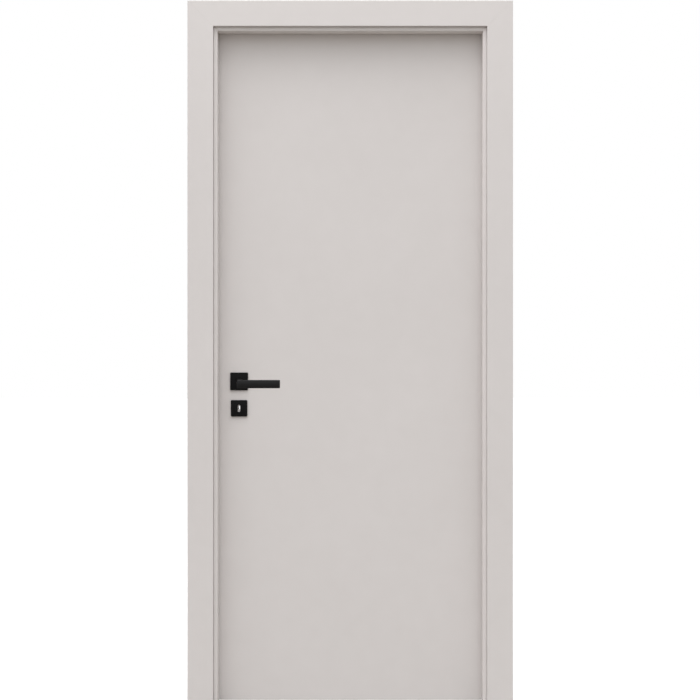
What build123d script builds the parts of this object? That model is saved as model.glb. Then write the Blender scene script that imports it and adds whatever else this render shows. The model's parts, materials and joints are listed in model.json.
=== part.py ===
"""Flush interior door set: mitred lining with casings on both sides, a hinged leaf and lever furniture.

Millimetres. The origin is on the hinge jamb's wall-side face, at floor level and half way through
the wall. +X points out of the doorway into the wall on the hinge side, +Y is the side that the leaf
opens to, and +Z is up.
"""

import math
import os

from build123d import *

# Leaf and its gaps
LEAF_WIDTH = 825.0
LEAF_HEIGHT = 2040.0
LEAF_THICKNESS = 40.0
SKIN_THICKNESS = 4.0
STILE_WIDTH = 42.0
RAIL_HEIGHT = 42.0
LEAF_ARRIS = 1.0
LOCK_EDGE_BEVEL = 1.5
EDGE_GAP = 5.0
FLOOR_GAP = 8.0

# Lining boards and the stops planted on them
LINING_DEPTH = 92.0
LINING_THICKNESS = 22.0
LINING_ARRIS = 1.2
STOP_OVERLAP = 12.5
STOP_ARRIS = 1.2
SEAL_GAP = 6.0
MITRE_GAP = 0.1
JOINT_GAP = 0.8
JOINT_DEPTH = 4.0

# Casings, set back from the lining's arris by a lip in front and by room for the hinges behind
CASING_THICKNESS = 12.0
CASING_COVER = 50.0
CASING_ARRIS = 1.5
FRONT_LIP = 12.0
BACK_REVEAL = 10.0
RELIEF_WIDTH = 14.0
RELIEF_DEPTH = 2.0
RELIEF_INSET = 2.0

# Seal in the stop
SEAL_SETBACK = 2.5
SEAL_LIP_WIDTH = 8.0
SEAL_LIP_ROUND = 2.0
SEAL_STEM_WIDTH = 3.4
SEAL_STEM_DEPTH = 5.5
SEAL_FIT = 0.2
SEAL_TO_LEAF = 0.4

# Hinges
HINGE_HEIGHT = 100.0
HINGE_FROM_END = 230.0
HINGE_FLAP = 2.5
HINGE_FLAP_WIDTH = 30.0
HINGE_FLAP_CORNER = 6.0
KNUCKLE_COUNT = 5
KNUCKLE_RADIUS = 7.0
KNUCKLE_GAP = 0.5
KNUCKLE_TO_FACE = 0.5
HINGE_PIN_RADIUS = 3.45
HINGE_PIN_CLEARANCE = 0.05
HINGE_CAP_HEIGHT = 4.0
HINGE_CAP_ROUND = 2.0
MORTISE_FIT = 0.2

# Lock and its bolts, drawn back flush with the faceplate, and the strike plate
BACKSET = 74.0
HANDLE_HEIGHT = 978.0
KEY_DROP = 82.0
KEYHOLE_WIDTH = 8.4
KEYHOLE_HEIGHT = 22.0
KEY_SLOT_WIDTH = 5.2
KEY_SLOT_HEIGHT = 13.0
KEY_SLOT_RISE = 1.5
LOCK_CASE_THICKNESS = 15.0
LOCK_CASE_BEHIND_AXIS = 24.0
LOCK_CASE_OVER_AXIS = 26.0
LOCK_CASE_UNDER_KEY = 32.0
FACEPLATE_THICKNESS = 3.0
FACEPLATE_WIDTH = 22.0
FACEPLATE_OVERHANG = 16.0
FACEPLATE_CORNER = 10.0
BOLT_THICKNESS = 11.0
BOLT_LENGTH = 38.0
BOLT_SETBACK = 0.5
BOLT_FIT = 0.3
LATCH_HEIGHT = 20.0
DEAD_BOLT_HEIGHT = 26.0
DEAD_BOLT_OVER_KEY = 18.0
STRIKE_THICKNESS = 2.0
STRIKE_WIDTH = 24.0
STRIKE_OVERHANG = 20.0
STRIKE_ROOM = 2.0
STRIKE_POCKET_DEPTH = 12.0

# Roses, levers and spindle
HANDLE_ROSE_SIZE = 54.0
KEY_ROSE_SIZE = 50.0
ROSE_THICKNESS = 6.0
ROSE_CORNER = 3.0
ROSE_BEVEL = 2.5
ROSE_BEVEL_DEPTH = 1.2
ROSE_CROWN = 0.8
SPINDLE_SIZE = 8.0
SPINDLE_FIT = 0.1
SPINDLE_REACH = 18.0
SPINDLE_ROOM = 2.0
COLLAR_RADIUS = 10.0
COLLAR_DEPTH = 3.5
COLLAR_STAND = 2.0
COLLAR_CLEARANCE = 0.3
NECK_WIDTH = 20.0
NECK_INSET = 1.5
NECK_CORNER = 2.0
NECK_FOOT_FLAT = 0.6
LEVER_PROJECTION = 60.0
LEVER_REACH = 127.0
LEVER_HEEL = 3.0
BLADE_HEIGHT = 25.0
BLADE_THICKNESS = 11.0
BLADE_DROP = 7.3
BLADE_CORNER = 2.5
BLADE_CROWN = 1.5
BLADE_BEVEL = 1.2
BLADE_BACK_BEVEL = 0.8

# Faces and levels that follow from the sizes above
wall_front = -LINING_DEPTH / 2
wall_back = LINING_DEPTH / 2
casing_front = wall_front - CASING_THICKNESS
casing_back = wall_back + CASING_THICKNESS
leaf_back = wall_back
leaf_front = leaf_back - LEAF_THICKNESS
leaf_middle = (leaf_front + leaf_back) / 2
core_front = leaf_front + SKIN_THICKNESS
core_back = leaf_back - SKIN_THICKNESS
stop_face = leaf_front - SEAL_GAP
hinge_rebate = -LINING_THICKNESS
leaf_hinge_edge = hinge_rebate - EDGE_GAP
leaf_lock_edge = leaf_hinge_edge - LEAF_WIDTH
lock_rebate = leaf_lock_edge - EDGE_GAP
frame_left = lock_rebate - LINING_THICKNESS
leaf_bottom = FLOOR_GAP
leaf_top = leaf_bottom + LEAF_HEIGHT
lining_top = leaf_top + EDGE_GAP + LINING_THICKNESS

# Places across the frame, counted from the lining's wall-side face towards the doorway
passage = LINING_THICKNESS + EDGE_GAP + STOP_OVERLAP
front_casing_inner = passage - FRONT_LIP
back_casing_inner = LINING_THICKNESS - BACK_REVEAL
seal_near = passage - SEAL_SETBACK
seal_far = seal_near - SEAL_LIP_WIDTH
seal_middle = (seal_near + seal_far) / 2

hinge_axis_x = hinge_rebate - EDGE_GAP / 2
hinge_axis_y = leaf_back + KNUCKLE_RADIUS + KNUCKLE_TO_FACE
hinge_levels = {
    "top": leaf_top - HINGE_FROM_END,
    "middle": (leaf_top + leaf_bottom) / 2,
    "bottom": leaf_bottom + HINGE_FROM_END,
}

handle_x = leaf_lock_edge + BACKSET
handle_z = HANDLE_HEIGHT
key_z = handle_z - KEY_DROP
rose_front = leaf_front - ROSE_THICKNESS
collar_end = rose_front + COLLAR_DEPTH
spindle_bore = SPINDLE_SIZE * math.sqrt(2) / 2 + SPINDLE_ROOM
lock_top = handle_z + LOCK_CASE_OVER_AXIS
lock_bottom = key_z - LOCK_CASE_UNDER_KEY
lock_depth = BACKSET + LOCK_CASE_BEHIND_AXIS
latch_span = (handle_z - LATCH_HEIGHT / 2, handle_z + LATCH_HEIGHT / 2)
dead_bolt_z = key_z + DEAD_BOLT_OVER_KEY
dead_bolt_span = (dead_bolt_z - DEAD_BOLT_HEIGHT / 2, dead_bolt_z + DEAD_BOLT_HEIGHT / 2)

pieces = {}


def block(x_span, y_span, z_span):
    """A plain block between two corners."""
    spans = (x_span, y_span, z_span)
    size = [abs(high - low) for low, high in spans]
    middle = [(low + high) / 2 for low, high in spans]
    return Pos(*middle) * Box(*size)


def grown(span, room):
    """A span with the same room added at both ends."""
    return span[0] - room, span[1] + room


def prism(outline, z_span):
    """An upright prism on an outline of (x, y) points."""
    face = make_face(Polyline(*outline, close=True))
    return extrude(Pos(0, 0, z_span[0]) * face, z_span[1] - z_span[0])


def rod(radius, x, y_span, z):
    """A round bar or bore that runs through the leaf, along Y."""
    plane = Plane(origin=(x, y_span[0], z), x_dir=(1, 0, 0), z_dir=(0, 1, 0))
    return extrude(plane * Circle(radius), y_span[1] - y_span[0])


def profile(outline, arrises=(), radius=0.0):
    """A flat profile, with some of its corners rounded."""
    face = Sketch() + make_face(Polyline(*outline, close=True))
    corners = [v for v in face.vertices() if any((Vector(v) - Vector(*a)).length < 1e-6 for a in arrises)]
    return fillet(corners, radius) if corners else face


def rectangle(u_span, y_span):
    """A rectangle in a profile."""
    middle = Pos((u_span[0] + u_span[1]) / 2, (y_span[0] + y_span[1]) / 2)
    return middle * Rectangle(u_span[1] - u_span[0], y_span[1] - y_span[0])


def mitred_frame(section):
    """Two uprights and a head with one section, mitred at both upper corners with a hairline gap.

    The section's first axis runs from the lining's wall-side face towards the doorway, and its second
    axis along Y.
    """
    height = lining_top + CASING_COVER
    width = 2 * CASING_COVER - frame_left
    hinge_mitre = Plane(origin=(0, 0, lining_top), z_dir=(-1, 0, 1))
    lock_mitre = Plane(origin=(frame_left, 0, lining_top), z_dir=(1, 0, 1))
    head_start = Plane(origin=(frame_left - CASING_COVER, 0, lining_top), x_dir=(0, 0, -1), z_dir=(1, 0, 0))
    hinge_bar = extrude(mirror(section, Plane.YZ), height, dir=(0, 0, 1))
    lock_bar = extrude(Pos(frame_left, 0, 0) * section, height, dir=(0, 0, 1))
    head_bar = extrude(head_start * section, width, dir=(1, 0, 0))
    for mitre in (hinge_mitre, lock_mitre):
        head_bar = split(head_bar, mitre.offset(MITRE_GAP / 2), Keep.TOP)
    hinge_bar = split(hinge_bar, hinge_mitre.offset(-MITRE_GAP / 2), Keep.BOTTOM)
    lock_bar = split(lock_bar, lock_mitre.offset(-MITRE_GAP / 2), Keep.BOTTOM)
    return hinge_bar, lock_bar, head_bar


def add_bars(name, section):
    """Three mitred bars of one section, each a piece of its own."""
    hinge_bar, lock_bar, head_bar = mitred_frame(section)
    pieces[f"{name}_hinge_side"] = hinge_bar
    pieces[f"{name}_lock_side"] = lock_bar
    pieces[f"{name}_head"] = head_bar


def lock_edge(y):
    """The leaf's lock edge, bevelled so that it swings clear of the frame."""
    return leaf_lock_edge + LOCK_EDGE_BEVEL * (leaf_back - y) / LEAF_THICKNESS


def in_lock_edge(depth_span, thickness, z_span):
    """A block let into the lock edge, with its outer end along the bevel."""
    low = leaf_middle - thickness / 2
    high = leaf_middle + thickness / 2
    near, far = depth_span
    outline = [
        (lock_edge(low) + near, low),
        (lock_edge(low) + far, low),
        (lock_edge(high) + far, high),
        (lock_edge(high) + near, high),
    ]
    return prism(outline, z_span)


def other_side(shape):
    """The same piece on the other face of the leaf."""
    return mirror(shape, Plane(origin=(0, leaf_middle, 0), z_dir=(0, 1, 0)))


def key_slot(z, height, width, y_span):
    """A slot for the key, upright and with round ends."""
    plane = Plane(origin=(handle_x, y_span[0], z), x_dir=(0, 0, 1), z_dir=(0, 1, 0))
    return extrude(plane * SlotOverall(height, width), y_span[1] - y_span[0])


def crowned(shape, front, z, height, crown):
    """A piece of furniture with its front face crowned from top to bottom."""
    radius = (height**2 / 4 + crown**2) / (2 * crown)
    axis = Pos(handle_x, front + radius, z) * Rot(0, 90, 0)
    return shape & axis * Cylinder(radius, 3 * LEVER_REACH)


def through_leaf(y_span):
    """The spindle's bore and the key's slot, cut through a layer of the leaf."""
    return [
        rod(spindle_bore, handle_x, y_span, handle_z),
        key_slot(key_z + KEY_SLOT_RISE, KEY_SLOT_HEIGHT, KEY_SLOT_WIDTH, y_span),
    ]


def hinge_plate(x_span, z, room):
    """A hinge flap's plate, or its mortise, with round corners at its inner edge."""
    y_span = (leaf_back - HINGE_FLAP_WIDTH - room, leaf_back)
    z_span = (z - HINGE_HEIGHT / 2 - room, z + HINGE_HEIGHT / 2 + room)
    plate = block(x_span, y_span, z_span)
    inner = plate.edges().filter_by(Axis.X).group_by(Axis.Y)[0]
    return fillet(inner, HINGE_FLAP_CORNER + room)


def make_lining():
    """The two jambs and the head, cut for the hinges and the strike plate."""
    outline = [
        (0, wall_front),
        (LINING_THICKNESS, wall_front),
        (LINING_THICKNESS, wall_back),
        (0, wall_back),
    ]
    section = profile(outline, [(LINING_THICKNESS, wall_back)], LINING_ARRIS)
    hinge_jamb, lock_jamb, head_jamb = mitred_frame(section)
    for level in hinge_levels.values():
        hinge_jamb -= hinge_plate((hinge_rebate, hinge_rebate + HINGE_FLAP), level, MORTISE_FIT)
    lock_jamb -= strike_plate(MORTISE_FIT)
    for span in (latch_span, dead_bolt_span):
        lock_jamb -= strike_hole(span, STRIKE_POCKET_DEPTH)
    pieces.update(hinge_jamb=hinge_jamb, lock_jamb=lock_jamb, head_jamb=head_jamb)


def make_stops():
    """The stops that the leaf shuts against, grooved for the seal, with a joint line beside the casing."""
    outline = [
        (LINING_THICKNESS, wall_front),
        (passage, wall_front),
        (passage, stop_face),
        (LINING_THICKNESS, stop_face),
    ]
    section = profile(outline, [(passage, wall_front), (passage, stop_face)], STOP_ARRIS)
    stem_room = SEAL_STEM_WIDTH / 2 + SEAL_FIT
    section -= rectangle(
        (seal_middle - stem_room, seal_middle + stem_room),
        (stop_face - SEAL_STEM_DEPTH - SEAL_FIT, stop_face),
    )
    section -= rectangle(
        (front_casing_inner, front_casing_inner + JOINT_GAP),
        (wall_front, wall_front + JOINT_DEPTH),
    )
    add_bars("stop", section)


def strike_plate(room):
    """The strike plate's outer shape, let into the lock jamb's rebate."""
    y_span = (leaf_middle - STRIKE_WIDTH / 2, leaf_middle + STRIKE_WIDTH / 2)
    z_span = (dead_bolt_span[0] - STRIKE_OVERHANG, latch_span[1] + STRIKE_OVERHANG)
    plate = block((lock_rebate - STRIKE_THICKNESS, lock_rebate), grown(y_span, room), grown(z_span, room))
    return fillet(plate.edges().filter_by(Axis.X), FACEPLATE_CORNER + room)


def strike_hole(bolt_span, depth):
    """The hole that a bolt shoots into."""
    y_span = (leaf_middle - BOLT_THICKNESS / 2, leaf_middle + BOLT_THICKNESS / 2)
    x_span = (lock_rebate - STRIKE_THICKNESS - depth, lock_rebate)
    return block(x_span, grown(y_span, STRIKE_ROOM), grown(bolt_span, STRIKE_ROOM))


def make_casings():
    """Flat casings on both sides of the wall, relieved at the back so that they bed on it."""
    spans = {
        "front_casing": (front_casing_inner, wall_front, casing_front),
        "back_casing": (back_casing_inner, wall_back, casing_back),
    }
    for name, (inner, wall, face) in spans.items():
        outline = [(-CASING_COVER, wall), (inner, wall), (inner, face), (-CASING_COVER, face)]
        section = profile(outline, [(inner, face), (-CASING_COVER, face)], CASING_ARRIS)
        relief_end = wall + math.copysign(RELIEF_DEPTH, wall)
        section -= rectangle(
            (-RELIEF_INSET - RELIEF_WIDTH, -RELIEF_INSET),
            (min(wall, relief_end), max(wall, relief_end)),
        )
        add_bars(name, section)


def make_seals():
    """A soft seal pressed into the stop on three sides."""
    lip_end = leaf_front - SEAL_TO_LEAF
    section = profile(
        [(seal_far, stop_face), (seal_near, stop_face), (seal_near, lip_end), (seal_far, lip_end)],
        [(seal_near, lip_end), (seal_far, lip_end)],
        SEAL_LIP_ROUND,
    )
    section += rectangle(
        (seal_middle - SEAL_STEM_WIDTH / 2, seal_middle + SEAL_STEM_WIDTH / 2),
        (stop_face - SEAL_STEM_DEPTH, stop_face),
    )
    add_bars("seal", section)


def make_strike_plate():
    """The strike plate with its two bolt holes."""
    plate = strike_plate(0)
    for span in (latch_span, dead_bolt_span):
        plate -= strike_hole(span, 0)
    pieces["strike_plate"] = plate


def make_hinges():
    """Three butt hinges, each with a flap on the frame, a flap on the leaf and a capped pin."""
    knuckle = (HINGE_HEIGHT - (KNUCKLE_COUNT - 1) * KNUCKLE_GAP) / KNUCKLE_COUNT
    bore_radius = HINGE_PIN_RADIUS + HINGE_PIN_CLEARANCE
    frame_x = (hinge_rebate, hinge_rebate + HINGE_FLAP)
    leaf_x = (leaf_hinge_edge - HINGE_FLAP, leaf_hinge_edge)
    for name, level in hinge_levels.items():
        bottom = level - HINGE_HEIGHT / 2
        axis = Pos(hinge_axis_x, hinge_axis_y, bottom)
        upright = (Align.CENTER, Align.CENTER, Align.MIN)
        flaps = [hinge_plate(frame_x, level, 0), hinge_plate(leaf_x, level, 0)]
        for index in range(KNUCKLE_COUNT):
            foot = index * (knuckle + KNUCKLE_GAP)
            x_span = leaf_x if index % 2 else frame_x
            link = block(x_span, (leaf_back, hinge_axis_y), (bottom + foot, bottom + foot + knuckle))
            barrel = axis * Pos(0, 0, foot) * Cylinder(KNUCKLE_RADIUS, knuckle, align=upright)
            flaps[index % 2] += [link, barrel]
        bore = axis * Cylinder(bore_radius, HINGE_HEIGHT, align=upright)
        cap = Cylinder(KNUCKLE_RADIUS, HINGE_CAP_HEIGHT, align=upright)
        cap = fillet(cap.edges().group_by(Axis.Z)[-1], HINGE_CAP_ROUND)
        pin = Cylinder(HINGE_PIN_RADIUS, HINGE_HEIGHT, align=upright)
        pin += [Pos(0, 0, HINGE_HEIGHT) * cap, mirror(cap, Plane.XY)]
        pieces[f"hinge_{name}_frame_flap"] = flaps[0] - bore
        pieces[f"hinge_{name}_leaf_flap"] = flaps[1] - bore
        pieces[f"hinge_{name}_pin"] = axis * pin


def make_skin(outer, inner):
    """One face of the leaf, with eased arrises round its edge."""
    outline = [
        (leaf_hinge_edge, outer),
        (leaf_hinge_edge, inner),
        (lock_edge(inner), inner),
        (lock_edge(outer), outer),
    ]
    skin = prism(outline, (leaf_bottom, leaf_top))
    face = skin.faces().filter_by(Axis.Y).sort_by_distance((hinge_axis_x, outer, leaf_bottom))[0]
    skin = fillet(face.edges(), LEAF_ARRIS)
    span = (min(outer, inner), max(outer, inner))
    return skin - through_leaf(span)


def make_leaf():
    """The flush leaf: two skins over stiles, rails and a core, cut for the lock and the hinges."""
    thickness = (core_front, core_back)
    height = (leaf_bottom, leaf_top)
    stile_x = leaf_hinge_edge - STILE_WIDTH
    lock_stile_x = leaf_lock_edge + STILE_WIDTH
    top_rail_z = leaf_top - RAIL_HEIGHT
    bottom_rail_z = leaf_bottom + RAIL_HEIGHT
    hinge_stile = block((stile_x, leaf_hinge_edge), thickness, height)
    lock_stile = prism(
        [
            (lock_edge(core_front), core_front),
            (lock_stile_x, core_front),
            (lock_stile_x, core_back),
            (lock_edge(core_back), core_back),
        ],
        height,
    )
    core = block((lock_stile_x, stile_x), thickness, (bottom_rail_z, top_rail_z))
    back_skin = make_skin(leaf_back, core_back)
    mortise_x = (leaf_hinge_edge - HINGE_FLAP, leaf_hinge_edge)
    for level in hinge_levels.values():
        mortise = hinge_plate(mortise_x, level, MORTISE_FIT)
        hinge_stile -= mortise
        back_skin -= mortise
    lock_span = grown((lock_bottom, lock_top), MORTISE_FIT)
    lock_mortise = in_lock_edge(
        (FACEPLATE_THICKNESS, lock_depth + MORTISE_FIT),
        LOCK_CASE_THICKNESS + 2 * MORTISE_FIT,
        lock_span,
    )
    core -= [lock_mortise, *through_leaf(thickness)]
    pieces.update(
        leaf_front_skin=make_skin(leaf_front, core_front),
        leaf_back_skin=back_skin,
        hinge_stile=hinge_stile,
        lock_stile=lock_stile - [lock_mortise, faceplate(MORTISE_FIT)],
        top_rail=block((lock_stile_x, stile_x), thickness, (top_rail_z, leaf_top)),
        bottom_rail=block((lock_stile_x, stile_x), thickness, (leaf_bottom, bottom_rail_z)),
        leaf_core=core,
    )


def faceplate(room):
    """The lock's faceplate, flush with the bevelled edge and round at its ends."""
    z_span = grown((lock_bottom, lock_top), FACEPLATE_OVERHANG + room)
    plate = in_lock_edge((0, FACEPLATE_THICKNESS), FACEPLATE_WIDTH + 2 * room, z_span)
    return fillet(plate.edges().filter_by(Axis.X), FACEPLATE_CORNER + room)


def make_lock():
    """A mortise lock: its case, its faceplate and two bolts."""
    case_depth = (FACEPLATE_THICKNESS, lock_depth)
    case = in_lock_edge(case_depth, LOCK_CASE_THICKNESS, (lock_bottom, lock_top))
    case -= through_leaf((leaf_front, leaf_back))
    plate = faceplate(0)
    for name, span in (("latch_bolt", latch_span), ("dead_bolt", dead_bolt_span)):
        pieces[name] = in_lock_edge((BOLT_SETBACK, BOLT_LENGTH), BOLT_THICKNESS, span)
        room = grown(span, BOLT_FIT)
        hole = in_lock_edge((0, BOLT_LENGTH + BOLT_FIT), BOLT_THICKNESS + 2 * BOLT_FIT, room)
        case -= hole
        plate -= hole
    pieces.update(lock_case=case, lock_faceplate=plate)


def make_rose(size, z):
    """A square rose on the front face of the leaf, with a bevelled edge and a crowned face."""
    seat = Plane(origin=(handle_x, leaf_front, z), x_dir=(1, 0, 0), z_dir=(0, -1, 0))
    shoulder = ROSE_THICKNESS - ROSE_BEVEL_DEPTH
    outline = RectangleRounded(size, size, ROSE_CORNER)
    crown = RectangleRounded(size - 2 * ROSE_BEVEL, size - 2 * ROSE_BEVEL, ROSE_CORNER)
    rose = extrude(seat * outline, shoulder)
    rose += loft([seat.offset(shoulder) * outline, seat.offset(ROSE_THICKNESS) * crown])
    return crowned(rose, rose_front, z, size, ROSE_CROWN)


def make_roses():
    """A rose for the lever and one for the key on each face."""
    handle_rose = make_rose(HANDLE_ROSE_SIZE, handle_z)
    collar_bore = COLLAR_RADIUS + COLLAR_CLEARANCE
    handle_rose -= rod(collar_bore, handle_x, (rose_front, collar_end + COLLAR_CLEARANCE), handle_z)
    handle_rose -= rod(spindle_bore, handle_x, (rose_front, leaf_front), handle_z)
    key_rose = make_rose(KEY_ROSE_SIZE, key_z)
    key_rose -= key_slot(key_z, KEYHOLE_HEIGHT, KEYHOLE_WIDTH, (rose_front, leaf_front))
    for name, rose in (("handle_rose", handle_rose), ("key_rose", key_rose)):
        pieces[f"front_{name}"] = rose
        pieces[f"back_{name}"] = other_side(rose)


def make_levers():
    """A cranked lever on each face and the square spindle that joins them."""
    blade_front = leaf_front - LEVER_PROJECTION
    blade_back = blade_front + BLADE_THICKNESS
    blade_z = handle_z - BLADE_DROP
    blade = block(
        (handle_x - LEVER_HEEL, handle_x + LEVER_REACH),
        (blade_front, blade_back),
        (blade_z - BLADE_HEIGHT / 2, blade_z + BLADE_HEIGHT / 2),
    )
    blade = fillet(blade.edges().filter_by(Axis.Y), BLADE_CORNER)
    blade = crowned(blade, blade_front, blade_z, BLADE_HEIGHT, BLADE_CROWN)
    blade = chamfer(blade.faces().sort_by(Axis.Y)[0].edges(), BLADE_BEVEL)
    blade = chamfer(blade.faces().sort_by(Axis.Y)[-1].edges(), BLADE_BACK_BEVEL)

    collar_y = rose_front - COLLAR_STAND
    collar = rod(COLLAR_RADIUS, handle_x, (collar_y, collar_end), handle_z)
    foot = Plane(origin=(handle_x, collar_y, handle_z), x_dir=(1, 0, 0), z_dir=(0, -1, 0))
    neck_middle = handle_x - LEVER_HEEL + NECK_INSET + NECK_WIDTH / 2
    head = Plane(origin=(neck_middle, blade_back, blade_z), x_dir=(1, 0, 0), z_dir=(0, -1, 0))
    foot_size = 2 * COLLAR_RADIUS
    foot_corner = COLLAR_RADIUS - NECK_FOOT_FLAT / 2
    neck = loft(
        [
            foot * RectangleRounded(foot_size, foot_size, foot_corner),
            head * RectangleRounded(NECK_WIDTH, BLADE_HEIGHT - 2 * NECK_INSET, NECK_CORNER),
        ]
    )
    spindle_end = collar_end - SPINDLE_REACH
    far_end = 2 * leaf_middle - spindle_end
    half = SPINDLE_SIZE / 2
    spindle_x = (handle_x - half, handle_x + half)
    spindle_z = (handle_z - half, handle_z + half)
    socket = block(
        grown(spindle_x, SPINDLE_FIT),
        (spindle_end - SPINDLE_FIT, collar_end),
        grown(spindle_z, SPINDLE_FIT),
    )
    lever = blade + neck + collar - socket
    pieces.update(
        front_lever=lever,
        back_lever=other_side(lever),
        spindle=block(spindle_x, (spindle_end, far_end), spindle_z),
    )


make_lining()
make_stops()
make_casings()
make_seals()
make_strike_plate()
make_hinges()
make_leaf()
make_lock()
make_roses()
make_levers()

os.makedirs("parts", exist_ok=True)
for name, piece in pieces.items():
    export_step(piece, f"parts/{name}.step")
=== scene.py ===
"""Looks for the flush interior door set: paint, metal, screws, floor, light and camera."""

import json
import math

import bmesh
import bpy
from mathutils import Matrix, Vector


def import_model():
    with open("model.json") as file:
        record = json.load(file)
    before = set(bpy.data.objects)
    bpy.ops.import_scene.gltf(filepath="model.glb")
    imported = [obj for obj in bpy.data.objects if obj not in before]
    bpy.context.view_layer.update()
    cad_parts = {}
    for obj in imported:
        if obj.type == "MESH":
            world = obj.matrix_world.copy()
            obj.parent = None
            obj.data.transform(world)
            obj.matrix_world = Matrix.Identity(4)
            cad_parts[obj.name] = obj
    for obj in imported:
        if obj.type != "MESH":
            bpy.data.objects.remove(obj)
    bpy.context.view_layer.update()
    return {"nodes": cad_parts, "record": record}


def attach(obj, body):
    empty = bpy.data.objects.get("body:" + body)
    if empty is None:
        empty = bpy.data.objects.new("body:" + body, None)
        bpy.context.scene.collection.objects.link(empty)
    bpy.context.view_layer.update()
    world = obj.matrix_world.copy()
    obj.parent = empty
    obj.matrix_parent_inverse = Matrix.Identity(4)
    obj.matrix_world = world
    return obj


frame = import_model()
nodes = frame["nodes"]

# Camera: square on to the door, its distance and height read from the photograph's perspective
CAMERA_PLACE = (-0.4401, -4.783, 1.0735)
CAMERA_LENS = 80.825
CAMERA_SENSOR = 36.0
CAMERA_REACH = 200.0

# Colours, in linear light
PAINT = (0.678, 0.643, 0.629)
PAINT_WORN = (0.660, 0.625, 0.610)
# Painted light: the lining's paint is a lighter copy of the casing's, lifting the shade in its lips and
# reveals
LINING_PAINTED_LIGHT = 1.06
# Painted light and shade: the lever's black is a lighter copy of one coat, and the roses' a darker, less
# glossy copy
BLACK_LEVER_PAINTED_LIGHT = (0.0022, 0.0022, 0.0024)
BLACK_ROSE_PAINTED_SHADE = (0.0012, 0.0012, 0.0013)
BLACK_LIGHTER = 1.4
STEEL = (0.52, 0.51, 0.495)
STEEL_DARKER = 0.82
RUBBER = (0.41, 0.375, 0.345)
RUBBER_PALER = 1.25
# Dust, darker than the paint: real dust and painted shade on upward faces under the overhead light
DUST_AND_SHADE = (0.30, 0.285, 0.265)
PINE_LIGHT = (0.66, 0.47, 0.27)
PINE_DARK = (0.45, 0.28, 0.13)
BOARD_LIGHT = (0.47, 0.34, 0.21)
BOARD_DARK = (0.33, 0.22, 0.12)

# Finishes: roughness at its lowest and highest, gloss as a specular level, and relief as the strength
# and the depth in metres of the bump
PAINT_ROUGHNESS = (0.44, 0.54)
PAINT_GLOSS = 0.32
PAINT_RELIEF = (0.10, 0.00025)
RAW_ROUGHNESS = 0.82
RAW_RELIEF = 1.5
BLACK_ROUGHNESS = (0.35, 0.42)
BLACK_RELIEF = (0.12, 0.0001)
LEVER_GLOSS = 0.30
ROSE_GLOSS = 0.17
STEEL_ROUGHNESS = (0.30, 0.40)
STEEL_RELIEF = (0.15, 0.00005)
RUBBER_ROUGHNESS = (0.72, 0.86)
RUBBER_RELIEF = (0.1, 0.0002)
BOARD_ROUGHNESS = 0.85
BOARD_RELIEF = (0.3, 0.0004)

# Grain: cells of noise to the metre, and by axis where it is drawn out
PAINT_CLOUD = 2.3
PAINT_PATCH = 19.0
PAINT_STIPPLE = 520.0
PAINT_GRIT = 2300.0
PAINT_EDGE = 140.0
SHADE_DUST_GRAIN = 90.0
BLACK_PATCH = 55.0
BLACK_GRAIN = 2600.0
STEEL_PATCH = 70.0
STEEL_BRUSH = (2400.0, 2400.0, 40.0)
RUBBER_BLOOM = 240.0
PINE_ACROSS = 34.0
PINE_ALONG = 1.6
PINE_FIBRE = 8
BOARD_FINE = 900.0
BOARD_SOFT = 60.0
CHIPS = 260.0
CHIPS_BY_AXIS = (1.0, 1.0, 0.45)

# The middle part of a noise, which is spread over a range of tones or roughness
NOISE_MIDDLE = (0.3, 0.7)
NOISE_CORE = (0.35, 0.65)

# Dust and painted shade on upward faces: the upward lean of a face at which it starts and is full, and
# the share that it covers
SHADE_DUST_LEAN = (0.6, 0.9)
SHADE_DUST_COVER = (0.76, 0.94)

# Light: the studio's brightness by height, as (sine of the elevation, strength), and how it changes
# towards the left, the sides and the back
SKY = [(0.0, 0.56), (0.35, 1.245), (0.65, 1.445), (0.85, 2.33), (1.0, 5.5)]
SKY_TINT = (0.99, 1.0, 1.015)
SKY_TO_LEFT = 0.23
SKY_AT_SIDES = 0.8
SKY_BEHIND = 0.5
FRONT_TO_SIDE = (-0.5, 0.0)
SIDE_TO_BEHIND = (0.0, 0.15)

# Lamps, as place, aim, size in metres and power in watts
OVERHEAD_LAMP = ((-1.1, -0.60, 3.8), (-0.44, 0.0, 1.7), (2.6, 0.7), 20.5)
BEHIND_LAMP = ((0.6, 3.6, 3.2), (-0.44, 0.0, 1.0), (3.0, 2.0), 80.0)

# Floor: its colour to the light, its white to the eye and the share of it that glows
FLOOR_SIZE = 60.0
FLOOR_BOUNCE = (0.284, 0.265, 0.240)
FLOOR_WHITE = 0.95
FLOOR_GLOW = 0.62

# Where a reflection starts to show the white background and shows it fully: by direction, and by
# distance behind the door on the floor
BACKDROP_TURN = (-0.1, 0.1)
BACKDROP_FLOOR = (0.3, 0.9)

# The frame's middle and its faces towards the wall, the leaf's ends, the depth of a face that counts
# as its surface, and how far the edge of the paint strays, in metres
MIDDLE_X = -0.4395
HALF_FRAME = 0.4395
LINING_TOP = 2.075
WALL_HALF = 0.046
LEAF_TOP = 2.048
LEAF_BOTTOM = 0.008
SKIN = 0.0003
STRAY = 0.0006

# Screws: radius, rise over the plate, and the places that take one, in metres
SCREW_RADIUS = 0.0042
SCREW_RISE = 0.0009
GRUB_RADIUS = 0.0024
GRUB_RISE = 0.0005
HINGE_LEVELS = (1.818, 1.028, 0.238)
HINGE_SCREWS = ((-0.038, 0.036), (-0.013, 0.025), (0.013, 0.036), (0.038, 0.025))
FRAME_FLAP_X = -0.022
LEAF_FLAP_X = -0.027
LOCK_Y = 0.026
STRIKE_X = -0.857
STRIKE_SCREWS = (0.8900, 0.9990)
FACEPLATE_X = -0.85125
FACEPLATE_SCREWS = (0.8565, 1.0115)
EDGE_LEAN = 0.0375
NECK_PLACE = (-0.7739, -0.022, 0.96395)
NECK_LEAN = 0.202

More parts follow.
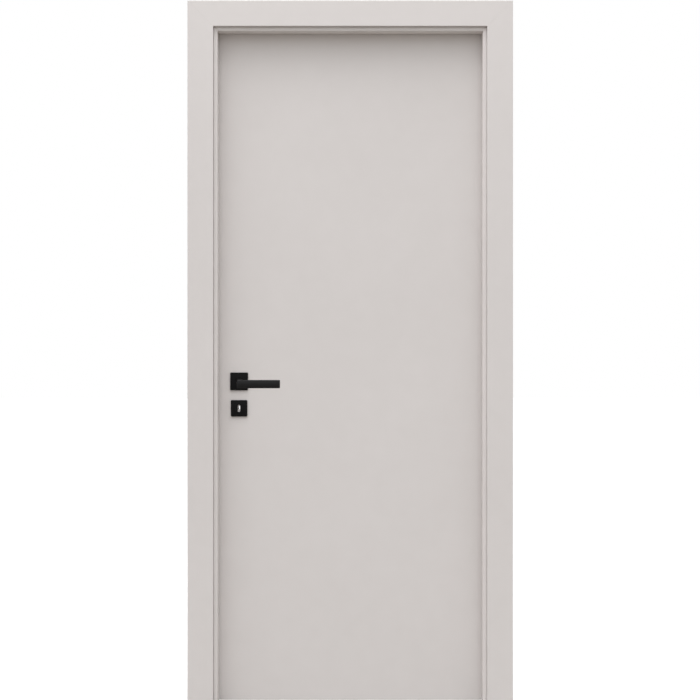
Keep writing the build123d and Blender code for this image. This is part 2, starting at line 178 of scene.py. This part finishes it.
# A screw's head: its sides, its profile and recess as shares of radius and rise, the turn from one
# screw to the next and the angle from which an edge is sharp
HEAD_SIDES = 28
HEAD_PROFILE = ((1.0, -0.2), (0.93, 0.45), (0.76, 0.82), (0.58, 1.0))
RECESS_FLOOR = 0.15
CROSS_MOUTH = (0.50, 0.105)
CROSS_FLOOR = (0.34, 0.07)
SOCKET_SIDES = 6
SOCKET_SHARE = 0.55
SCREW_TURN = 0.7
SHARP_ANGLE = math.radians(40.0)


class Wiring:
    """Shorthand for wiring the nodes of a material or of the world."""

    def __init__(self, tree):
        self.tree = tree

    def add(self, kind, **settings):
        node = self.tree.nodes.new(kind)
        for key, value in settings.items():
            setattr(node, key, value)
        return node

    def feed(self, socket, value):
        if isinstance(value, bpy.types.NodeSocket):
            self.tree.links.new(value, socket)
        elif isinstance(value, tuple) and len(value) == 3 and socket.type == "RGBA":
            socket.default_value = (*value, 1.0)
        else:
            socket.default_value = value

    def place(self):
        return self.add("ShaderNodeTexCoord").outputs["Object"]

    def facing(self):
        return self.add("ShaderNodeTexCoord").outputs["Normal"]

    def stretch(self, vector, scale):
        node = self.add("ShaderNodeMapping")
        self.feed(node.inputs["Vector"], vector)
        node.inputs["Scale"].default_value = scale
        return node.outputs["Vector"]

    def split(self, vector):
        node = self.add("ShaderNodeSeparateXYZ")
        self.feed(node.inputs["Vector"], vector)
        return node.outputs["X"], node.outputs["Y"], node.outputs["Z"]

    def noise(self, vector, scale, detail=2.0, roughness=0.5, distortion=0.0):
        node = self.add("ShaderNodeTexNoise")
        self.feed(node.inputs["Vector"], vector)
        node.inputs["Scale"].default_value = scale
        node.inputs["Detail"].default_value = detail
        node.inputs["Roughness"].default_value = roughness
        node.inputs["Distortion"].default_value = distortion
        return node.outputs["Fac"]

    def cells(self, vector, scale):
        node = self.add("ShaderNodeTexVoronoi")
        self.feed(node.inputs["Vector"], vector)
        node.inputs["Scale"].default_value = scale
        return node.outputs["Color"]

    def math(self, operation, a, b=0.0):
        node = self.add("ShaderNodeMath", operation=operation)
        self.feed(node.inputs[0], a)
        self.feed(node.inputs[1], b)
        return node.outputs["Value"]

    def span(self, value, low, high, to_low, to_high):
        node = self.add("ShaderNodeMapRange")
        for socket, number in zip(node.inputs, (value, low, high, to_low, to_high)):
            self.feed(socket, number)
        return node.outputs["Result"]

    def mix(self, share, a, b):
        node = self.add("ShaderNodeMix", data_type="RGBA")
        self.feed(node.inputs[0], share)
        self.feed(node.inputs[6], a)
        self.feed(node.inputs[7], b)
        return node.outputs[2]

    def bump(self, height, strength, depth):
        node = self.add("ShaderNodeBump")
        node.inputs["Strength"].default_value = strength
        node.inputs["Distance"].default_value = depth
        self.feed(node.inputs["Height"], height)
        return node.outputs["Normal"]

    def join(self, share, a, b):
        node = self.add("ShaderNodeMixShader")
        self.feed(node.inputs[0], share)
        self.feed(node.inputs[1], a.outputs[0])
        self.feed(node.inputs[2], b.outputs[0])
        return node


def material(name):
    """A new node material, its wiring and its shader's inputs."""
    made = bpy.data.materials.new(name)
    made.use_nodes = True
    made.node_tree.nodes.clear()
    wire = Wiring(made.node_tree)
    shader = wire.add("ShaderNodeBsdfPrincipled")
    out = wire.add("ShaderNodeOutputMaterial")
    wire.feed(out.inputs["Surface"], shader.outputs["BSDF"])
    return made, wire, shader.inputs


def times(colour, share):
    """A colour made lighter or darker."""
    return tuple(share * c for c in colour)


def any_of(wire, *masks):
    """The strongest of several masks."""
    strongest = masks[0]
    for mask in masks[1:]:
        strongest = wire.math("MAXIMUM", strongest, mask)
    return strongest


def pine(wire, place, along):
    """Raw pine with its grain along X, Y or Z."""
    scale = [PINE_ACROSS, PINE_ACROSS, PINE_ACROSS]
    scale["XYZ".index(along)] = PINE_ALONG
    grain = wire.noise(wire.stretch(place, scale), 1.0, detail=4.0, roughness=0.55, distortion=0.6)
    fibre = wire.noise(wire.stretch(place, [PINE_FIBRE * s for s in scale]), 1.0)
    figure = wire.math("ADD", grain, wire.math("MULTIPLY", fibre, 0.3))
    tone = wire.span(figure, 0.45, 0.85, 0.0, 1.0)
    return wire.mix(tone, PINE_LIGHT, PINE_DARK), fibre


def upright_pine(wire, place):
    """Raw pine with its grain upright."""
    return pine(wire, place, "Z")


def level_pine(wire, place):
    """Raw pine with its grain across the door."""
    return pine(wire, place, "X")


def fibreboard(wire, place):
    """Raw fibreboard, finely mottled."""
    fine = wire.noise(place, BOARD_FINE, detail=3.0, roughness=0.6)
    soft = wire.noise(place, BOARD_SOFT)
    mottle = wire.math("ADD", fine, wire.math("MULTIPLY", soft, 0.5))
    tone = wire.span(mottle, 0.45, 1.05, 0.0, 1.0)
    return wire.mix(tone, BOARD_LIGHT, BOARD_DARK), fine


def paint(name, raw_mask, raw_stuff, painted_light=1.0):
    """Satin paint with a faint roller stipple, bare stuff where no brush reaches, dust and painted shade
    on ledges, and painted light where it is made lighter.
    """
    made, wire, inputs = material(name)
    place = wire.place()
    cloud = wire.noise(place, PAINT_CLOUD, detail=3.0, roughness=0.55)
    patch = wire.noise(place, PAINT_PATCH)
    stipple = wire.noise(place, PAINT_STIPPLE, roughness=0.55)
    grit = wire.noise(place, PAINT_GRIT, detail=1.0)
    shade = wire.math("ADD", wire.math("MULTIPLY", cloud, 0.6), wire.math("MULTIPLY", patch, 0.4))
    tone = wire.span(shade, *NOISE_CORE, 0.0, 1.0)
    # A share above one makes the colour lighter: painted light
    colour = wire.mix(tone, times(PAINT_WORN, painted_light), times(PAINT, painted_light))
    roughness = wire.span(patch, *NOISE_MIDDLE, *PAINT_ROUGHNESS)
    relief = wire.math("ADD", stipple, wire.math("MULTIPLY", grit, 0.25))

    frayed = wire.math("SUBTRACT", wire.noise(place, PAINT_EDGE, detail=3.0), 0.5)
    mask = raw_mask(wire, place, wire.math("MULTIPLY", frayed, STRAY))
    bare, fibre = raw_stuff(wire, place)
    colour = wire.mix(mask, colour, bare)
    roughness = wire.math("MAXIMUM", roughness, wire.math("MULTIPLY", mask, RAW_ROUGHNESS))
    raw_relief = wire.math("MULTIPLY", mask, wire.math("MULTIPLY", fibre, RAW_RELIEF))
    relief = wire.math("ADD", relief, raw_relief)

    _, _, up = wire.split(wire.facing())
    # Upward faces turn to a dark dust: dust, and painted shade that holds them back under the overhead
    # light
    settled = wire.span(wire.noise(place, SHADE_DUST_GRAIN, detail=3.0), *NOISE_MIDDLE, *SHADE_DUST_COVER)
    dust_and_shade = wire.math("MULTIPLY", wire.span(up, *SHADE_DUST_LEAN, 0.0, 1.0), settled)
    wire.feed(inputs["Base Color"], wire.mix(dust_and_shade, colour, DUST_AND_SHADE))
    wire.feed(inputs["Roughness"], wire.math("MAXIMUM", roughness, dust_and_shade))
    inputs["Specular IOR Level"].default_value = PAINT_GLOSS
    wire.feed(inputs["Normal"], wire.bump(relief, *PAINT_RELIEF))
    return made


def lining_raw(wire, place, ragged):
    """The lining's faces against the wall and its feet."""
    x, _, z = wire.split(place)
    out = wire.math("ABSOLUTE", wire.math("SUBTRACT", x, MIDDLE_X))
    side = wire.math("GREATER_THAN", out, wire.math("ADD", ragged, HALF_FRAME - SKIN))
    top = wire.math("GREATER_THAN", z, wire.math("ADD", ragged, LINING_TOP - SKIN))
    foot = wire.math("LESS_THAN", z, SKIN)
    return any_of(wire, side, top, foot)


def casing_raw(wire, place, ragged):
    """The casings' faces towards the wall, relief included, and their feet."""
    _, y, z = wire.split(place)
    _, outward, _ = wire.split(wire.facing())
    back = wire.math("LESS_THAN", wire.math("MULTIPLY", outward, y), -0.5 * WALL_HALF)
    foot = wire.math("LESS_THAN", z, wire.math("ADD", ragged, SKIN))
    return any_of(wire, back, foot)


def leaf_raw(wire, place, ragged):
    """The leaf's top and underside."""
    _, _, z = wire.split(place)
    top = wire.math("GREATER_THAN", z, wire.math("ADD", ragged, LEAF_TOP - SKIN))
    foot = wire.math("LESS_THAN", z, wire.math("ADD", ragged, LEAF_BOTTOM + SKIN))
    return any_of(wire, top, foot)


def black_metal(name, black, gloss):
    """Matt black powder coat."""
    made, wire, inputs = material(name)
    place = wire.place()
    patch = wire.noise(place, BLACK_PATCH)
    grain = wire.noise(place, BLACK_GRAIN, roughness=0.6)
    tone = wire.span(patch, *NOISE_CORE, 0.0, 1.0)
    wire.feed(inputs["Base Color"], wire.mix(tone, black, times(black, BLACK_LIGHTER)))
    wire.feed(inputs["Roughness"], wire.span(patch, *NOISE_MIDDLE, *BLACK_ROUGHNESS))
    inputs["Specular IOR Level"].default_value = gloss
    wire.feed(inputs["Normal"], wire.bump(grain, *BLACK_RELIEF))
    return made


def satin_steel():
    """Satin steel with a fine upright brush."""
    made, wire, inputs = material("satin_steel")
    place = wire.place()
    brush = wire.noise(wire.stretch(place, STEEL_BRUSH), 1.0, detail=3.0, roughness=0.6)
    patch = wire.noise(place, STEEL_PATCH)
    wire.feed(inputs["Base Color"], wire.mix(brush, times(STEEL, STEEL_DARKER), STEEL))
    inputs["Metallic"].default_value = 1.0
    wire.feed(inputs["Roughness"], wire.span(patch, *NOISE_MIDDLE, *STEEL_ROUGHNESS))
    wire.feed(inputs["Normal"], wire.bump(brush, *STEEL_RELIEF))
    return made


def seal_rubber():
    """Matt seal in a warm grey with a dusty bloom."""
    made, wire, inputs = material("seal_rubber")
    place = wire.place()
    bloom = wire.noise(place, RUBBER_BLOOM, detail=3.0)
    wire.feed(inputs["Base Color"], wire.mix(bloom, RUBBER, times(RUBBER, RUBBER_PALER)))
    wire.feed(inputs["Roughness"], wire.span(bloom, *NOISE_MIDDLE, *RUBBER_ROUGHNESS))
    wire.feed(inputs["Normal"], wire.bump(bloom, *RUBBER_RELIEF))
    return made


def core_board():
    """Chipboard, seen only through the lock's cut-outs."""
    made, wire, inputs = material("core_board")
    place = wire.place()
    chips = wire.cells(wire.stretch(place, CHIPS_BY_AXIS), CHIPS)
    colour, fine = fibreboard(wire, place)
    pale = wire.span(chips, 0.0, 1.0, 0.0, 0.6)
    wire.feed(inputs["Base Color"], wire.mix(pale, colour, PINE_LIGHT))
    inputs["Roughness"].default_value = BOARD_ROUGHNESS
    wire.feed(inputs["Normal"], wire.bump(fine, *BOARD_RELIEF))
    return made


def dress(names, made):
    """Gives CAD nodes a material."""
    for name in names:
        mesh = nodes[name].data
        mesh.materials.clear()
        mesh.materials.append(made)


def dress_all():
    """Materials for every CAD node, by the record's slots, and the screws in theirs."""
    by_slot = {}
    for part in frame["record"]["subparts"]:
        by_slot.setdefault(part["material_slot"], []).append(part["node"])
    lining = by_slot["painted_frame"]
    # The lining's paint is made lighter than the casing's: painted light in its lips and reveals
    upright = paint("lining_paint_painted_light", lining_raw, upright_pine, LINING_PAINTED_LIGHT)
    across = paint("lining_head_paint_painted_light", lining_raw, level_pine, LINING_PAINTED_LIGHT)
    dress([name for name in lining if "head" not in name], upright)
    dress([name for name in lining if "head" in name], across)
    dress(by_slot["painted_casing"], paint("casing_paint", casing_raw, fibreboard))
    dress(by_slot["painted_leaf"], paint("leaf_paint", leaf_raw, level_pine))
    black = by_slot["black_metal"]
    # One coat in two copies: a lighter one on the levers as painted light, a darker one on the roses and
    # grub screws as painted shade
    lever_black_painted_light = black_metal("black_lever_painted_light", BLACK_LEVER_PAINTED_LIGHT, LEVER_GLOSS)
    rose_black_painted_shade = black_metal("black_rose_painted_shade", BLACK_ROSE_PAINTED_SHADE, ROSE_GLOSS)
    dress([name for name in black if "lever" in name], lever_black_painted_light)
    dress([name for name in black if "rose" in name], rose_black_painted_shade)
    steel = satin_steel()
    dress(by_slot["steel"], steel)
    dress(by_slot["seal_rubber"], seal_rubber())
    dress(by_slot["core_board"], core_board())
    add_screws(steel, rose_black_painted_shade)


def clear_lever_shadow():
    """The photograph's lever leaves no soft shadow on the leaf, so the front one leaves none here."""
    lever = nodes["front_lever"]
    lever.visible_shadow = False
    lever.visible_diffuse = False


def ring(mesh, outline, height):
    """A loop of points at one height over the plate."""
    return [mesh.verts.new((x, y, height)) for x, y in outline]


def skirt(mesh, low, high):
    """Faces between two loops."""
    for index, corner in enumerate(low):
        after = (index + 1) % len(low)
        mesh.faces.new((corner, low[after], high[after], high[index]))


def rounded(count, radius):
    """A regular outline."""
    turns = [2.0 * math.pi * step / count for step in range(count)]
    return [(radius * math.cos(turn), radius * math.sin(turn)) for turn in turns]


def cross(reach, half):
    """The outline of a cross recess."""
    points = []
    for x, y in ((1, 0), (0, 1), (-1, 0), (0, -1)):
        points.append((reach * x + half * y, reach * y - half * x))
        points.append((reach * x - half * y, reach * y + half * x))
        points.append((half * (x - y), half * (x + y)))
    return points


def loop_edges(mesh, loop):
    """The edges round a loop, made where they are missing."""
    found = []
    for index, corner in enumerate(loop):
        pair = (corner, loop[(index + 1) % len(loop)])
        found.append(mesh.edges.get(pair) or mesh.edges.new(pair))
    return found


def add_head(mesh, radius, rise, recess, floor_of_recess):
    """A domed head on the plane z = 0, with a recess whose outline and floor are given."""
    rings = []
    for share, height in HEAD_PROFILE:
        rings.append(ring(mesh, rounded(HEAD_SIDES, share * radius), height * rise))
    mouth = ring(mesh, recess, rise)
    base = ring(mesh, floor_of_recess, RECESS_FLOOR * rise)
    for low, high in zip(rings, rings[1:]):
        skirt(mesh, low, high)
    skirt(mesh, mouth, base)
    mesh.faces.new(base)
    rims = loop_edges(mesh, rings[-1]) + loop_edges(mesh, mouth)
    bmesh.ops.triangle_fill(mesh, edges=rims, use_beauty=True)


def screws(name, places, head, made, body):
    """One piece with a head at each place, given as (point, outward direction)."""
    whole = bmesh.new()
    for turn, (point, outward) in enumerate(places):
        one = bmesh.new()
        add_head(one, *head)
        facing = Vector(outward).to_track_quat("Z", "Y").to_matrix().to_4x4()
        spin = Matrix.Rotation(SCREW_TURN * turn, 4, "Z")
        one.transform(Matrix.Translation(point) @ facing @ spin)
        bmesh.ops.recalc_face_normals(one, faces=one.faces)
        single = bpy.data.meshes.new(name)
        one.to_mesh(single)
        one.free()
        whole.from_mesh(single)
        bpy.data.meshes.remove(single)
    mesh = bpy.data.meshes.new(name)
    whole.to_mesh(mesh)
    whole.free()
    mesh.shade_smooth()
    mesh.set_sharp_from_angle(angle=SHARP_ANGLE)
    mesh.materials.append(made)
    piece = bpy.data.objects.new(name, mesh)
    bpy.context.scene.collection.objects.link(piece)
    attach(piece, body)


def add_screws(steel, black):
    """Screws in hinges, strike plate and faceplate, and a grub screw under each lever."""
    mouth, base = (cross(*times(share, SCREW_RADIUS)) for share in (CROSS_MOUTH, CROSS_FLOOR))
    head = (SCREW_RADIUS, SCREW_RISE, mouth, base)
    on_flap = [(level + z, y) for level in HINGE_LEVELS for z, y in HINGE_SCREWS]
    frame_flap = [((FRAME_FLAP_X, y, z), (-1.0, 0.0, 0.0)) for z, y in on_flap]
    leaf_flap = [((LEAF_FLAP_X, y, z), (1.0, 0.0, 0.0)) for z, y in on_flap]
    strike = [((STRIKE_X, LOCK_Y, z), (1.0, 0.0, 0.0)) for z in STRIKE_SCREWS]
    faceplate = [((FACEPLATE_X, LOCK_Y, z), (-1.0, -EDGE_LEAN, 0.0)) for z in FACEPLATE_SCREWS]
    screws("frame_hinge_screws", frame_flap, head, steel, "frame")
    screws("leaf_hinge_screws", leaf_flap, head, steel, "leaf")
    screws("strike_screws", strike, head, steel, "frame")
    screws("faceplate_screws", faceplate, head, steel, "leaf")
    x, y, z = NECK_PLACE
    front_neck = ((x, y, z), (0.0, NECK_LEAN, -1.0))
    back_neck = ((x, 2.0 * LOCK_Y - y, z), (0.0, -NECK_LEAN, -1.0))
    socket = rounded(SOCKET_SIDES, SOCKET_SHARE * GRUB_RADIUS)
    grub = (GRUB_RADIUS, GRUB_RISE, socket, socket)
    screws("lever_grub_screws", [front_neck, back_neck], grub, black, "handle")


def looked_at(wire, backdrop):
    """One for rays that show the white background: the camera's, and reflections of it."""
    path = wire.add("ShaderNodeLightPath").outputs
    mirrored = any_of(wire, path["Is Glossy Ray"], path["Is Transmission Ray"])
    return any_of(wire, path["Is Camera Ray"], wire.math("MULTIPLY", mirrored, backdrop))


def floor():
    """A pale floor that reads as white and keeps the door's soft shadow."""
    bpy.ops.mesh.primitive_plane_add(size=FLOOR_SIZE, location=(MIDDLE_X, 0.0, 0.0))
    ground = bpy.context.object
    ground.name = "floor"
    made = bpy.data.materials.new("studio_floor")
    made.use_nodes = True
    made.node_tree.nodes.clear()
    wire = Wiring(made.node_tree)
    bounce = wire.add("ShaderNodeBsdfDiffuse")
    wire.feed(bounce.inputs["Color"], FLOOR_BOUNCE)
    white = wire.add("ShaderNodeBsdfDiffuse")
    wire.feed(white.inputs["Color"], (FLOOR_WHITE, FLOOR_WHITE, FLOOR_WHITE))
    glow = wire.add("ShaderNodeEmission")
    glow.inputs["Strength"].default_value = 1.0
    seen = wire.join(FLOOR_GLOW, white, glow)
    _, y, _ = wire.split(wire.place())
    shown = looked_at(wire, wire.span(y, *BACKDROP_FLOOR, 0.0, 1.0))
    out = wire.add("ShaderNodeOutputMaterial")
    wire.feed(out.inputs["Surface"], wire.join(shown, bounce, seen).outputs[0])
    ground.data.materials.append(made)


def world():
    """Soft studio light, strongest overhead and stronger from the left, on a white background."""
    made = bpy.data.worlds.new("studio")
    made.use_nodes = True
    made.node_tree.nodes.clear()
    wire = Wiring(made.node_tree)
    brightest = max(strength for _, strength in SKY)
    x, y, z = wire.split(wire.add("ShaderNodeTexCoord").outputs["Generated"])
    ramp = wire.add("ShaderNodeValToRGB")
    stops = ramp.color_ramp.elements
    stops.remove(stops[1])
    for height, strength in SKY:
        stop = stops.new(height) if height > 0.0 else stops[0]
        stop.color = (*times(SKY_TINT, strength / brightest), 1.0)
    wire.feed(ramp.inputs[0], z)
    leftward = wire.math("SUBTRACT", 1.0, wire.math("MULTIPLY", x, SKY_TO_LEFT))
    to_side = wire.span(y, *FRONT_TO_SIDE, 1.0, SKY_AT_SIDES)
    to_behind = wire.span(y, *SIDE_TO_BEHIND, 1.0, SKY_BEHIND)
    forward = wire.math("MULTIPLY", to_side, to_behind)
    strength = wire.math("MULTIPLY", wire.math("MULTIPLY", leftward, forward), brightest)
    sky = wire.add("ShaderNodeBackground")
    wire.feed(sky.inputs["Color"], ramp.outputs[0])
    wire.feed(sky.inputs["Strength"], strength)
    white = wire.add("ShaderNodeBackground")
    wire.feed(white.inputs["Color"], (1.0, 1.0, 1.0))
    out = wire.add("ShaderNodeOutputWorld")
    shown = looked_at(wire, wire.span(y, *BACKDROP_TURN, 0.0, 1.0))
    wire.feed(out.inputs["Surface"], wire.join(shown, sky, white).outputs[0])
    bpy.context.scene.world = made


def lamp(name, place, target, size, power):
    """A soft rectangular lamp aimed at a point."""
    data = bpy.data.lights.new(name, "AREA")
    data.shape = "RECTANGLE"
    data.size, data.size_y = size
    data.energy = power
    made = bpy.data.objects.new(name, data)
    made.location = place
    aim = Vector(target) - Vector(place)
    made.rotation_euler = aim.to_track_quat("-Z", "Y").to_euler()
    bpy.context.scene.collection.objects.link(made)


def camera():
    """The photograph's camera."""
    data = bpy.data.cameras.new("camera")
    data.sensor_width = CAMERA_SENSOR
    data.lens = CAMERA_LENS
    data.clip_end = CAMERA_REACH
    made = bpy.data.objects.new("camera", data)
    made.location = CAMERA_PLACE
    made.rotation_euler = (math.radians(90.0), 0.0, 0.0)
    bpy.context.scene.collection.objects.link(made)
    bpy.context.scene.camera = made


dress_all()
clear_lever_shadow()
floor()
world()
lamp("overhead", *OVERHEAD_LAMP)
lamp("behind", *BEHIND_LAMP)
camera()
bpy.context.scene.view_settings.view_transform = "Standard"
